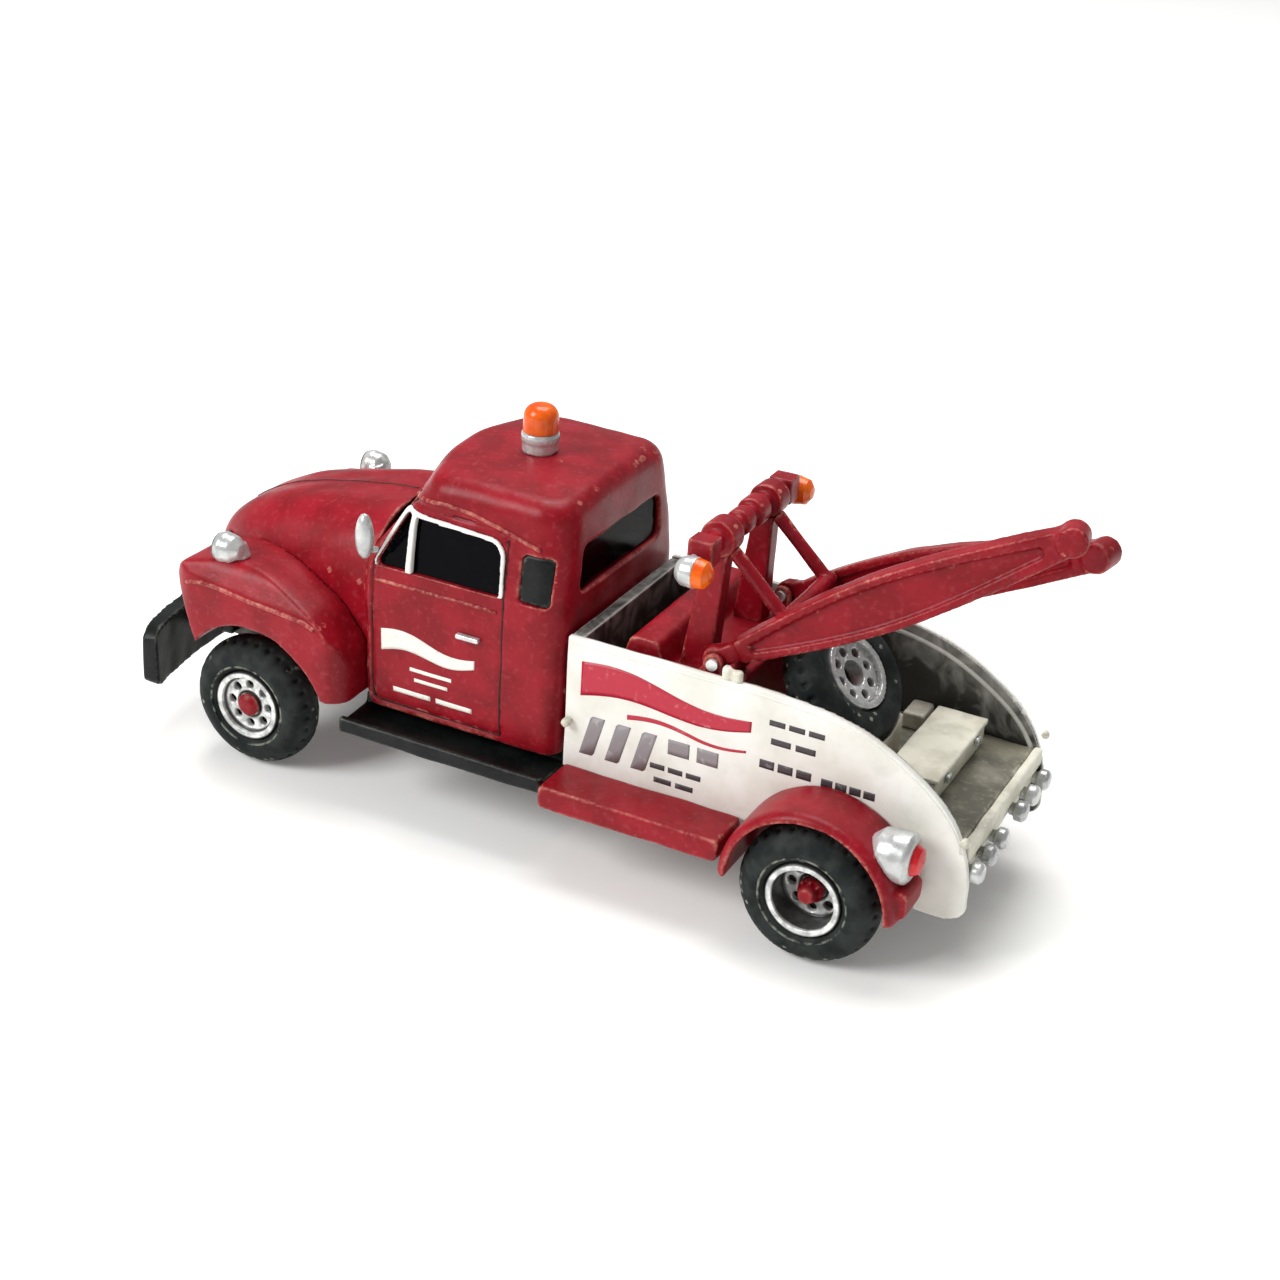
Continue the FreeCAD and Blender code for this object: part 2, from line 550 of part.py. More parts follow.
# ---- crane ----
def mast_base():
    """Winch housing: raised deck at the front, a lower ledge for the boom swivels behind."""
    body = slab([(5.0, BED_FLOOR_Z, 0), (12.5, BED_FLOOR_Z, 0), (12.5, LEDGE_Z, 0.3), (8.2, LEDGE_Z, 0.2),
                 (7.6, DECK_Z, 0.4), (5.8, DECK_Z, 0.5), (5.0, 13.2, 0.6)], side_view(-6.2), ACROSS * 12.4)
    bores = [rod(0.45 + PIN_CLEARANCE, V(PIVOT_X, s * PIVOT_Y, 12.3), V(PIVOT_X, s * PIVOT_Y, 16))
             for s in SIDES.values()]
    return body.cut(bores)


def mast_tower_left():
    """Tapered column from the ledge up to the crosshead."""
    low = rounded([(8.3, -4.5, 0.2), (10.3, -4.5, 0.2), (10.3, -3.0, 0.2), (8.3, -3.0, 0.2)], plan_view(LEDGE_Z))
    high = rounded([(9.2, -3.9, 0.2), (10.6, -3.9, 0.2), (10.6, -2.7, 0.2), (9.2, -2.7, 0.2)],
                   plan_view(HEAD_TOP_Z - 0.9))
    return Part.makeLoft([low, high], True, True)


def crosshead():
    """Tube across the mast head with four sheave drums and square end caps."""
    bar = rod(0.6, V(HEAD_X, -6.0, HEAD_TOP_Z), V(HEAD_X, 6.0, HEAD_TOP_Z))
    drums = []
    for y, radius, half in ((-3.2, 1.15, 0.75), (-0.6, 0.85, 0.5), (1.3, 0.95, 0.6), (3.6, 1.1, 0.7)):
        drums.append(rod(radius, V(HEAD_X, y - half, HEAD_TOP_Z), V(HEAD_X, y + half, HEAD_TOP_Z)))
    caps = [box((HEAD_X - 0.8, HEAD_X + 0.8), sorted((s * 5.0, s * 6.4)), (HEAD_TOP_Z - 0.8, HEAD_TOP_Z + 0.8))
            for s in SIDES.values()]
    return one_body([bar] + drums + caps)


APEX = V(14.3, -3.2, 17.6)


def mast_braces():
    """On each side a strut from the head down to the apex and a brace from the base up to it, tied by a tube."""
    head = crosshead()
    tower = mast_tower_left()
    strut = rod(0.42, V(10.3, -3.2, 21.4), APEX).cut([head, tower])
    lower = rod(0.36, V(11.6, -3.2, LEDGE_Z), APEX).cut([strut, mast_base()])
    tube = rod(0.45, V(APEX.x, -3.75, APEX.z), V(APEX.x, 3.75, APEX.z))
    tube = tube.cut([strut, lower, mirrored(strut), mirrored(lower)])
    return group([strut, lower, mirrored(strut), mirrored(lower), tube])


def mast_lamp_left():
    """Work lamp hung from the end of the crosshead, lens to the rear."""
    place = V(9.0, -7.35, 21.1)
    housing = turned([(0, 0), (0.6, 0.1), (0.9, 0.5), (0.95, 1.3), (0, 1.3)], place, ALONG, UP)
    arm = rod(0.28, V(9.7, -6.4, 21.6), V(9.7, -7.3, 21.3))
    lens = turned([(0, 1.3), (0.9, 1.3), (0.8, 1.9), (0.4, 2.2), (0, 2.25)], place, ALONG, UP)
    return one_body([housing, arm]), lens


def boom(side_name):
    """Fish-bellied I-beam boom, drawn along +X from its pivot and then raised and turned."""
    deep = BOOM_DEPTH / 2
    top = [(1.6, 0.7), (6.0, 1.35), (10.5, deep), (15.5, 1.5), (BOOM_LENGTH, 0.8)]
    low = [(a, -b) for a, b in reversed(top)]
    outline = [top, [top[-1], low[0]], low, [low[-1], top[0]]]
    web_top = [(2.4, 0.25), (6.2, 0.85), (10.5, deep - 0.5), (15.3, 0.95), (20.6, 0.3)]
    web_low = [(a, -b) for a, b in reversed(web_top)]
    pocket = [web_top, [web_top[-1], web_low[0]], web_low, [web_low[-1], web_top[0]]]
    beam = curved_slab(outline, side_view(-FLANGE_HALF), ACROSS * 2 * FLANGE_HALF)
    pockets = [curved_slab(pocket, side_view(y), ACROSS * POCKET) for y in (-FLANGE_HALF, FLANGE_HALF - POCKET)]
    eye_half = 0.45
    eye = rod(0.8, V(0, -eye_half, 0), V(0, eye_half, 0))
    neck = box((0, 2.4), (-eye_half, eye_half), (-0.6, 0.6))
    tip = rod(0.92, V(BOOM_LENGTH, -0.85, 0), V(BOOM_LENGTH, 0.85, 0))
    body = one_body([beam.cut(pockets), eye, neck, tip])
    body = body.cut(rod(PIN_R + PIN_CLEARANCE, V(0, -2, 0), V(0, 2, 0)))
    return aim(body, side_name, BOOM_LUFF[side_name])


def aim(shape, side_name, luff):
    """Raise a piece drawn at the origin by luff degrees, turn it inwards and carry it to its pivot."""
    side = SIDES[side_name]
    shape = shape.copy()
    shape.rotate(V(0, 0, 0), ACROSS, -luff)
    shape.rotate(V(0, 0, 0), UP, -side * BOOM_YAW[side_name])
    shape.translate(V(PIVOT_X, side * PIVOT_Y, PIVOT_Z))
    return shape


def swivel(side_name):
    """Turning clevis that carries the boom's pin, on a spigot that drops into the mast base."""
    disc_low = LEDGE_Z + 0.15 - PIVOT_Z
    disc = Part.makeCylinder(1.0, 0.4, V(0, 0, disc_low), UP)
    spigot = Part.makeCylinder(0.45, 1.5, V(0, 0, disc_low - 1.45), UP)
    ears = []
    ear_in, ear_out = 0.45 + EAR_GAP, 0.92
    for side in SIDES.values():
        y = min(side * ear_in, side * ear_out)
        plate = box((-0.6, 0.6), (y, y + ear_out - ear_in), (disc_low + 0.3, 0))
        ears.append(plate.fuse(rod(0.6, V(0, y, 0), V(0, y + ear_out - ear_in, 0))))
    body = one_body([disc, spigot] + ears)
    body = body.common(Part.makeCylinder(1.05, 6, V(0, 0, -4), UP))
    body = body.cut(rod(PIN_R + 0.01, V(0, -2, 0), V(0, 2, 0)))
    pin = rod(PIN_R, V(0, -1.15, 0), V(0, 1.15, 0))
    return aim(body, side_name, 0), aim(pin, side_name, 0)


def crane():
    lamp, lens = mast_lamp_left()
    head = crosshead()
    nodes = {
        "mast_base": mast_base(),
        "mast_crosshead": head,
        "mast_braces": mast_braces(),
        "mast_towers": pair(mast_tower_left()).cut(head),
        "mast_lamps": pair(lamp).cut(head),
        "mast_lamp_lenses": pair(lens),
    }
    for name in SIDES:
        bracket, pin = swivel(name)
        nodes["boom_swivel_" + name] = bracket
        nodes["boom_pin_" + name] = pin
        nodes["boom_" + name] = boom(name)
    return nodes


# ---- the whole truck ----
def truck():
    pod, lens = headlight_left()
    lamp, lamp_lens = tail_lamp_left()
    nodes = {"chassis_frame": chassis_frame(), "front_bumper": bumper(), "bumper_irons": bumper_irons()}
    nodes.update(wheels())
    nodes.update(cab())
    nodes.update(cab_interior())
    nodes.update(beacon())
    nodes.update(nose())
    nodes.update(bed())
    nodes.update(spare())
    nodes.update(toolbox())
    nodes.update(crane())
    left_pieces = {
        "cab_steps": cab_step_left(),
        "rear_boards": rear_board_left(),
        "door_handles": door_handle_left(),
        "side_lamps": side_lamp_left(),
        "headlights": pod,
        "headlight_lenses": lens,
        "rear_fenders": rear_fender_left(),
        "tail_lamps": lamp,
        "tail_lamp_lenses": lamp_lens,
    }
    nodes.update({name: pair(shape) for name, shape in left_pieces.items()})
    return nodes


def main():
    os.makedirs("parts", exist_ok=True)
    nodes = truck()
    whole = Part.makeCompound(list(nodes.values())).optimalBoundingBox(False, False)
    to_origin = V(-(whole.XMin + whole.XMax) / 2, 0, -whole.ZMin)
    print(len(nodes), "nodes; moved by", to_origin)
    for name, shape in nodes.items():
        shape.translate(to_origin)
        if not shape.isValid() or not shape.Solids:
            print("CHECK", name, shape.isValid(), len(shape.Solids))
        shape.exportStep(f"parts/{name}.step")


main()
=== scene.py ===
"""Looks of the toy tow truck: hand-painted white-metal castings, dry-brushed tyres and a clear soft light.

Shapes are worked in millimetres in the truck's own frame and written to Blender in metres.
"""

import json
import math

import bmesh
import bpy
import numpy as np
from mathutils import Matrix, Vector
from mathutils.bvhtree import BVHTree


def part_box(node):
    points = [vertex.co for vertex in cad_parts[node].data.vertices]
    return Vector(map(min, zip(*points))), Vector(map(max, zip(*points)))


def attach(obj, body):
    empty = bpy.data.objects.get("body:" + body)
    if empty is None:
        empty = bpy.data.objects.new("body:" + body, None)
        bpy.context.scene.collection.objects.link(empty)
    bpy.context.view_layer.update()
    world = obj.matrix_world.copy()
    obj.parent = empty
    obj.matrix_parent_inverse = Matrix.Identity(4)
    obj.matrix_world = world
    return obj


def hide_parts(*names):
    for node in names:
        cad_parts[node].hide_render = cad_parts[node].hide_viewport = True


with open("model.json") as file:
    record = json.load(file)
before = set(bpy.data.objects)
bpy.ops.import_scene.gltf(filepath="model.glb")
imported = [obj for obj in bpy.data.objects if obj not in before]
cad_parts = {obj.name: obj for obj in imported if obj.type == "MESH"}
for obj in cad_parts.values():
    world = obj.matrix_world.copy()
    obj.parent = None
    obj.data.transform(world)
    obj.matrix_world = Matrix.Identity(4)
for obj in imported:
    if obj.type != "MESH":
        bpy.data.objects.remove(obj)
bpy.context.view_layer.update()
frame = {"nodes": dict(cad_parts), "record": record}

MM = 0.001
SIDES = (-1, 1)
BODY_OF = {node: body for body, nodes in frame["record"]["behaviour"]["bodies"].items() for node in nodes}
random = np.random.default_rng(7)


def low(node):
    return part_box(node)[0] / MM


def high(node):
    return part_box(node)[1] / MM


# Places read from the frame, in millimetres
BED_FRONT = low("bed_sides").x
BED_BACK = high("bed_sides").x
BED_TOP = high("bed_sides").z
BED_OUTER = high("bed_sides").y
FLOOR_TOP = high("bed_floor").z
FRONT_AXLE = (low("front_axle") + high("front_axle")) / 2
REAR_AXLE = (low("rear_axle") + high("rear_axle")) / 2
MIDDLE = (FRONT_AXLE.x + REAR_AXLE.x) / 2

# Details drawn on the walls, as (x, z) in millimetres: x counts from MIDDLE, the crease's from the front axle
ROOF_GUTTER = [(-9.9, 20.2), (-8.6, 20.95), (-6.6, 21.2), (-4.6, 21.05), (-2.6, 20.6), (-1.0, 20.2),
               (0.2, 19.9)]
DOOR_GAP = [(-9.3, 20.75), (-11.1, 16.5), (-11.25, 12.0), (-11.2, 7.1), (-6.5, 6.95), (-2.0, 6.95),
            (-1.85, 12.0), (-1.9, 16.5), (-1.95, 20.0)]
DOOR_BELT = [(-10.9, 15.45), (-2.3, 15.45)]
FENDER_CREASE = [(-4.0, 12.5), (-2.9, 12.75), (-1.7, 12.75), (0.9, 12.5), (3.5, 12.35), (5.2, 12.2),
                 (6.0, 11.9)]
PRINT_ROWS = (  # x from and to, z from and to, and how many bars
    (8.1, 11.7, 7.65, 8.0, 3), (8.4, 11.3, 6.75, 7.1, 2), (15.5, 19.2, 12.75, 13.1, 3),
    (15.7, 18.8, 11.55, 11.95, 2), (15.1, 18.6, 9.85, 10.4, 3), (19.0, 22.5, 9.8, 10.3, 4),
)
DOOR_LINES = (  # x from and to, z from and to
    (-8.3, -5.3, 9.85, 10.1), (-8.0, -5.6, 9.15, 9.4), (-9.6, -6.9, 8.0, 8.35), (-6.5, -3.9, 8.0, 8.35),
)
BED_SHADE_REACH = (27.0, 14.0)  # x where the painted shade on the bed starts and where it is full
FILM_LIFT = 0.018
FILM_DEPTH = 0.05
WAVE_COUNT = 14
WAVE_LENGTHS = (1.4, 6.0)
WAVE_SPREAD = 3.7  # about the square root of WAVE_COUNT


# ---- meshes ----
def link(name, mesh, material, body, stands_for=None):
    """Put a finished mesh in the scene as a piece that rides on a body."""
    piece = bpy.data.objects.new(name, mesh)
    bpy.context.scene.collection.objects.link(piece)
    mesh.materials.clear()
    mesh.materials.append(material)
    mesh.shade_smooth()
    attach(piece, body)
    if stands_for:
        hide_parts(stands_for)
    return piece


def uneven(points, amount):
    """A smooth, seeded unevenness for each point, like that of a hand-made casting."""
    total = np.zeros(len(points))
    for _ in range(WAVE_COUNT):
        wave = random.normal(size=3)
        wave *= 2 * math.pi / np.linalg.norm(wave) / random.uniform(*WAVE_LENGTHS)
        total += np.sin(points @ wave + random.uniform(0, 2 * math.pi))
    return total * amount / WAVE_SPREAD


def remeshed(node, voxel, soften):
    """A CAD node's mesh in millimetres, welded, rebuilt from small cells and softened."""
    welded = bmesh.new()
    welded.from_mesh(frame["nodes"][node].data)
    bmesh.ops.remove_doubles(welded, verts=welded.verts, dist=1e-7)
    bmesh.ops.scale(welded, vec=(1 / MM,) * 3, verts=welded.verts)
    rough = bpy.data.meshes.new(node + "_rough")
    welded.to_mesh(rough)
    welded.free()
    worker = bpy.data.objects.new(node + "_worker", rough)
    bpy.context.scene.collection.objects.link(worker)
    remesh = worker.modifiers.new("remesh", "REMESH")
    remesh.mode = "VOXEL"
    remesh.voxel_size = voxel
    smooth = worker.modifiers.new("soften", "SMOOTH")
    smooth.factor = 0.5
    smooth.iterations = soften
    graph = bpy.context.evaluated_depsgraph_get()
    mesh = bpy.data.meshes.new_from_object(worker.evaluated_get(graph))
    bpy.data.objects.remove(worker)
    return mesh


def cast(node, material, voxel, soften, wobble):
    """A hand-cast copy of a CAD node: remeshed and slightly uneven, inside its CAD box."""
    mesh = remeshed(node, voxel, soften)
    count = len(mesh.vertices)
    points = np.zeros(count * 3)
    normals = np.zeros(count * 3)
    mesh.vertices.foreach_get("co", points)
    mesh.vertex_normals.foreach_get("vector", normals)
    points = points.reshape(-1, 3)
    points += normals.reshape(-1, 3) * uneven(points, wobble)[:, None]
    points = np.clip(points, np.array(low(node)), np.array(high(node))) * MM
    mesh.vertices.foreach_set("co", points.ravel())
    mesh.update()
    return link(node + "_cast", mesh, material, BODY_OF[node], node)


def mesh_from(name, points, faces):
    mesh = bpy.data.meshes.new(name)
    mesh.from_pydata([Vector(p) * MM for p in points], [], faces)
    solid = bmesh.new()
    solid.from_mesh(mesh)
    bmesh.ops.recalc_face_normals(solid, faces=solid.faces)
    solid.to_mesh(mesh)
    solid.free()
    return mesh


def tube(name, path, radius, material, body="truck", around=10):
    """Round wire along a list of points, with closed ends."""
    path = [Vector(p) for p in path]
    points = []
    faces = []
    for i, here in enumerate(path):
        ahead = (path[min(i + 1, len(path) - 1)] - path[max(i - 1, 0)]).normalized()
        side = ahead.cross(Vector((0.1, 1, 0.2))).normalized()
        other = ahead.cross(side)
        for k in range(around):
            turn = 2 * math.pi * k / around
            points.append(here + (side * math.cos(turn) + other * math.sin(turn)) * radius)
        if i:
            start = (i - 1) * around
            for k in range(around):
                nxt = (k + 1) % around
                faces.append((start + k, start + nxt, start + around + nxt, start + around + k))
    faces.append(tuple(range(around)))
    faces.append(tuple(range(len(points) - around, len(points))))
    return link(name, mesh_from(name, points, faces), material, body)


def ring(name, centre, axis, radius, thickness, material, body):
    """Raised ring around an axis."""
    axis = Vector(axis).normalized()
    side = axis.orthogonal().normalized()
    other = axis.cross(side)
    around, section = 96, 8
    points = []
    faces = []
    for i in range(around):
        turn = 2 * math.pi * i / around
        out = side * math.cos(turn) + other * math.sin(turn)
        for k in range(section):
            tilt = 2 * math.pi * k / section
            reach = radius + thickness * math.cos(tilt)
            points.append(Vector(centre) + out * reach + axis * thickness * math.sin(tilt))
            here = i * section
            after = (i + 1) % around * section
            nxt = (k + 1) % section
            faces.append((here + k, here + nxt, after + nxt, after + k))
    return link(name, mesh_from(name, points, faces), material, body)


def surface_of(piece):
    """A search tree of a piece's surface, in millimetres."""
    points = [v.co / MM for v in piece.data.vertices]
    return BVHTree.FromPolygons(points, [tuple(p.vertices) for p in piece.data.polygons])


def wall_at(tree, side, x, z):
    """The sideways place of the outermost wall at x and z, on one side."""
    hit = tree.ray_cast(Vector((x, side * 14, z)), Vector((0, -side, 0)))[0]
    return hit.y if hit else None


def top_at(tree, x, y):
    """The height of the uppermost surface at x and y."""
    hit = tree.ray_cast(Vector((x, y, 40)), Vector((0, 0, -1)))[0]
    return hit.z if hit else None


def moved(path, start):
    """A line of (x, z) places that counted from start, in the truck's own x."""
    return [(start + x, z) for x, z in path]


def along(path, steps=10):
    """Evenly spread points along a bent line of (x, z) corners."""
    points = []
    for (x0, z0), (x1, z1) in zip(path, path[1:]):
        for k in range(steps):
            points.append((x0 + (x1 - x0) * k / steps, z0 + (z1 - z0) * k / steps))
    return points + [path[-1]]


def on_wall(tree, side, path, lift=0.0):
    """The bent line laid on one side's wall, a little proud of it."""
    places = [(x, wall_at(tree, side, x, z), z) for x, z in along(path)]
    return [(x, y + side * lift, z) for x, y, z in places if y is not None]


def decal(name, tree, side, strip, material, columns, rows):
    """Thin painted patch on a side wall. strip(t) gives x, the low z and the high z at t from 0 to 1."""
    front = []
    back = []
    for i in range(columns + 1):
        for j in range(rows + 1):
            x, z_low, z_high = strip(i / columns)
            z = z_low + (z_high - z_low) * j / rows
            y = wall_at(tree, side, x, z)
            front.append((x, y + side * FILM_LIFT, z))
            back.append((x, y - side * FILM_DEPTH, z))
    wide = rows + 1
    faces = []
    for i in range(columns):
        for j in range(rows):
            a = i * wide + j
            faces.append((a, a + 1, a + wide + 1, a + wide))
            faces.append(tuple(len(front) + k for k in (a, a + wide, a + wide + 1, a + 1)))
    rim = list(range(wide))
    rim += [i * wide + rows for i in range(1, columns + 1)]
    rim += [columns * wide + j for j in range(rows - 1, -1, -1)]
    rim += [i * wide for i in range(columns - 1, 0, -1)]
    for k, a in enumerate(rim):
        b = rim[(k + 1) % len(rim)]
        faces.append((a, b, len(front) + b, len(front) + a))
    return link(name, mesh_from(name, front + back, faces), material, "truck")


# ---- materials ----
class Paint:
    """Small builder for a procedural material. Texture scales are per millimetre."""

    def __init__(self, name):
        self.material = bpy.data.materials.new(name)
        self.material.use_nodes = True
        self.tree = self.material.node_tree
        self.shader = self.tree.nodes["Principled BSDF"]
        coordinates = self.tree.nodes.new("ShaderNodeTexCoord")
        scale = self.tree.nodes.new("ShaderNodeMapping")
        scale.inputs["Scale"].default_value = (1 / MM,) * 3
        self.tree.links.new(coordinates.outputs["Object"], scale.inputs["Vector"])
        self.place = scale.outputs["Vector"]
        self.geometry = self.tree.nodes.new("ShaderNodeNewGeometry")

    def put(self, socket, value):
        if hasattr(value, "is_output"):
            self.tree.links.new(value, socket)
        elif hasattr(socket.default_value, "__len__") and not hasattr(value, "__len__"):
            socket.default_value = (value, value, value, 1)
        elif hasattr(value, "__len__") and len(value) == 3 and len(socket.default_value) == 4:
            socket.default_value = (*value, 1)
        else:
            socket.default_value = value

    def noise(self, scale, detail=4.0, distortion=0.0):
        node = self.tree.nodes.new("ShaderNodeTexNoise")
        self.put(node.inputs["Vector"], self.place)
        node.inputs["Scale"].default_value = scale
        node.inputs["Detail"].default_value = detail
        node.inputs["Distortion"].default_value = distortion
        return node.outputs["Fac"]

    def between(self, value, start, end):
        """0 where value is at start or before, 1 at end or after, smooth between."""
        node = self.tree.nodes.new("ShaderNodeMapRange")
        node.interpolation_type = "SMOOTHSTEP"
        self.put(node.inputs["Value"], value)
        node.inputs["From Min"].default_value = min(start, end)
        node.inputs["From Max"].default_value = max(start, end)
        node.inputs["To Min"].default_value = 0.0 if start < end else 1.0
        node.inputs["To Max"].default_value = 1.0 if start < end else 0.0
        return node.outputs["Result"]

    def math(self, operation, a, b=0.0):
        node = self.tree.nodes.new("ShaderNodeMath")
        node.operation = operation
        self.put(node.inputs[0], a)
        self.put(node.inputs[1], b)
        return node.outputs[0]

    def mix(self, share, a, b):
        node = self.tree.nodes.new("ShaderNodeMix")
        node.data_type = "RGBA"
        self.put(node.inputs["Factor"], share)
        self.put([s for s in node.inputs if s.name == "A" and s.type == "RGBA"][0], a)
        self.put([s for s in node.inputs if s.name == "B" and s.type == "RGBA"][0], b)
        return [s for s in node.outputs if s.type == "RGBA"][0]

    def part_of_place(self, axis):
        node = self.tree.nodes.new("ShaderNodeSeparateXYZ")
        self.put(node.inputs[0], self.place)
        return node.outputs[axis]

    def ridges(self, start=0.515, end=0.555):
        return self.between(self.geometry.outputs["Pointiness"], start, end)

    def hollows(self, start=0.49, end=0.44):
        return self.between(self.geometry.outputs["Pointiness"], start, end)

    def sheen(self, scale, spread, least):
        """Roughness that wanders from least up to least + spread."""
        return self.math("ADD", self.math("MULTIPLY", self.noise(scale), spread), least)

    def bump(self, height, strength, depth=0.03):
        node = self.tree.nodes.new("ShaderNodeBump")
        node.inputs["Strength"].default_value = strength
        node.inputs["Distance"].default_value = depth * MM
        self.put(node.inputs["Height"], height)
        self.put(self.shader.inputs["Normal"], node.outputs["Normal"])

    def finish(self, colour, roughness, metallic=0.0):
        self.put(self.shader.inputs["Base Color"], colour)
        self.put(self.shader.inputs["Roughness"], roughness)
        self.shader.inputs["Metallic"].default_value = metallic
        return self.material


def brushed_paint(name, base, deep, pale, worn, wash_and_shade, wear=0.7, wash_and_shade_amount=0.7, gloss=(0.3, 0.46),
                  metallic=0.0, shine=0.35):
    """Hand-brushed enamel: cloudy colour, fine specks, worn ridges, and a dark wash with painted shade in the
    hollows.
    """
    paint = Paint(name)
    paint.shader.inputs["Specular IOR Level"].default_value = shine
    cloud = paint.between(paint.noise(0.4, 5), 0.36, 0.64)
    speck = paint.between(paint.noise(2.6, 6), 0.52, 0.74)
    colour = paint.mix(cloud, deep, base)
    colour = paint.mix(paint.math("MULTIPLY", speck, 0.35), colour, pale)
    small = paint.between(paint.noise(4.0, 6), 0.40, 0.66)
    patchy = paint.math("ADD", small, paint.between(paint.noise(0.8), 0.4, 0.7))
    edge = paint.math("MULTIPLY", paint.math("MULTIPLY", paint.ridges(), patchy), wear * 0.5)
    colour = paint.mix(edge, colour, worn)
    # Dark wash and painted shade in the hollows.
    wash = paint.math("MULTIPLY", paint.hollows(), wash_and_shade_amount)
    colour = paint.mix(wash, colour, wash_and_shade)
    paint.bump(paint.noise(5.0, 6), 0.35)
    return paint.finish(colour, paint.sheen(1.1, gloss[1] - gloss[0], gloss[0]), metallic)


def red_enamel():
    """The truck's red, worn pale on its ridges."""
    return brushed_paint("red_enamel", base=(0.28, 0.004, 0.013), deep=(0.20, 0.002, 0.007),
                         pale=(0.38, 0.045, 0.06), worn=(0.66, 0.27, 0.20), wash_and_shade=(0.02, 0.001, 0.001),
                         wear=0.75, wash_and_shade_amount=0.95, shine=0.22)


def red_wash():
    """Dark red wash that has run into the body's gaps."""
    return brushed_paint("red_wash", base=(0.035, 0.001, 0.003), deep=(0.015, 0.001, 0.001),
                         pale=(0.06, 0.004, 0.006), worn=(0.10, 0.01, 0.01), wash_and_shade=(0.005, 0.001, 0.001),
                         gloss=(0.5, 0.7))


def black_enamel():
    return brushed_paint("black_enamel", base=(0.010, 0.011, 0.011), deep=(0.004, 0.005, 0.005),
                         pale=(0.02, 0.022, 0.02), worn=(0.15, 0.16, 0.13), wash_and_shade=(0.002, 0.002, 0.002),
                         shine=0.18)


def silver_enamel(name, wash_and_shade_amount):
    return brushed_paint(name, base=(0.62, 0.63, 0.62), deep=(0.36, 0.37, 0.37), pale=(0.85, 0.86, 0.84),
                         worn=(0.95, 0.95, 0.93), wash_and_shade=(0.03, 0.03, 0.028), wear=0.8, wash_and_shade_amount=wash_and_shade_amount,
                         gloss=(0.18, 0.34), metallic=0.45)


def rim_enamel(name, axle, face):
    """Silver rim with a black wash and painted shade in the corner of the dish, around the hub and where it
    meets the tyre.
    """
    paint = Paint(name)
    cloud = paint.between(paint.noise(1.6, 5), 0.35, 0.65)
    colour = paint.mix(cloud, (0.42, 0.43, 0.42), (0.86, 0.87, 0.85))
    x = paint.math("SUBTRACT", paint.part_of_place("X"), axle.x)
    z = paint.math("SUBTRACT", paint.part_of_place("Z"), axle.z)
    squares = paint.math("ADD", paint.math("MULTIPLY", x, x), paint.math("MULTIPLY", z, z))
    radius = paint.math("SQRT", squares)
    depth = paint.math("SUBTRACT", face, paint.math("ABSOLUTE", paint.part_of_place("Y")))
    # Black wash and painted shade in the corner of the dish, around the hub and where the rim meets the tyre.
    corner = paint.math("MULTIPLY", paint.between(radius, 1.72, 1.86), paint.between(depth, 0.22, 0.42))
    dark = paint.math("MAXIMUM", corner, paint.between(radius, 1.05, 0.92))
    dark = paint.math("MAXIMUM", dark, paint.between(radius, 2.2, 2.32))
    colour = paint.mix(paint.math("MULTIPLY", dark, 0.93), colour, (0.012, 0.012, 0.012))
    # Painted shade in the hollows.
    colour = paint.mix(paint.hollows(0.49, 0.45), colour, (0.03, 0.03, 0.028))
    paint.bump(paint.noise(5.0, 5), 0.3)
    return paint.finish(colour, paint.sheen(2.0, 0.2, 0.22), 0.3)


def white_enamel():
    """Window trims."""
    return brushed_paint("white_enamel", base=(0.84, 0.84, 0.80), deep=(0.70, 0.70, 0.66),
                         pale=(0.9, 0.9, 0.88), worn=(0.9, 0.9, 0.86), wash_and_shade=(0.3, 0.28, 0.25),
                         wear=0.3, wash_and_shade_amount=0.4)


